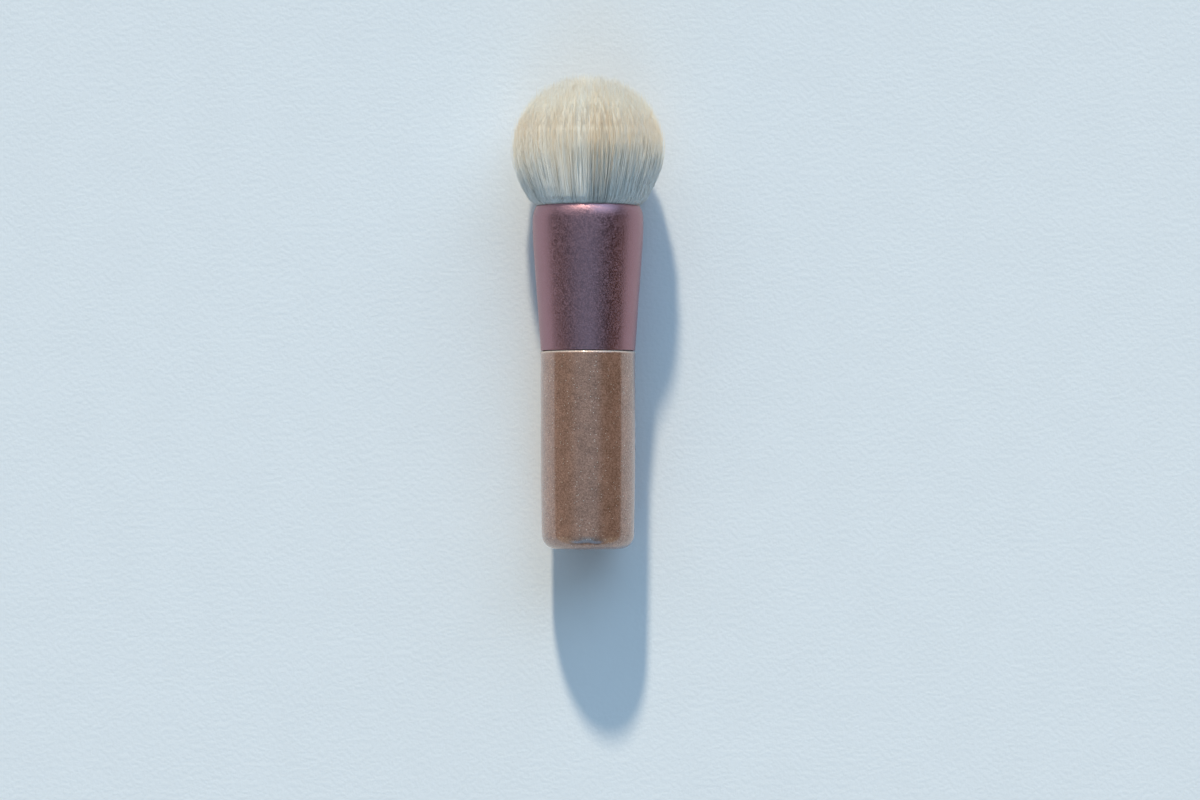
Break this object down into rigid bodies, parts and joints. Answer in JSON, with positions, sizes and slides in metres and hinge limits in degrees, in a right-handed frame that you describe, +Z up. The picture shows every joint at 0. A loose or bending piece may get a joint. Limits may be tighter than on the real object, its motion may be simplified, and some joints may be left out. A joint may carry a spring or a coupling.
{
  "type": "foundation brush",
  "caption": "Short foundation brush lying on its side: plump round-crowned hair tuft, flared metal ferrule with a rounded lip, and a stubby round-edged lacquered handle.",
  "frame": {"origin": "on the table, under the middle of the bounding box of the brush as it lies", "axes": "+Z is up, +Y runs along the brush from the butt of the handle to the crown of the hair, +X is to the right seen from the butt; the brush's own axis is tipped up by 1.68 degrees towards the hair"},
  "size_m": [0.0292, 0.094, 0.0262],
  "materials": {
    "handle_lacquer": "gloss",
    "ferrule_anodised": "satin",
    "hair": "matte",
    "thread": "matte",
    "adhesive": "gloss"
  },
  "bodies": {
    "root": {"handle": "handle_lacquer", "ferrule": "ferrule_anodised", "handle_glue_ring": "adhesive", "root_glue_plug": "adhesive", "root_binding": "thread", "hair_slice_1": "hair", "hair_slice_2": "hair", "hair_slice_3": "hair", "hair_slice_4": "hair", "hair_slice_5": "hair", "hair_slice_6": "hair"}
  },
  "joints": []
}
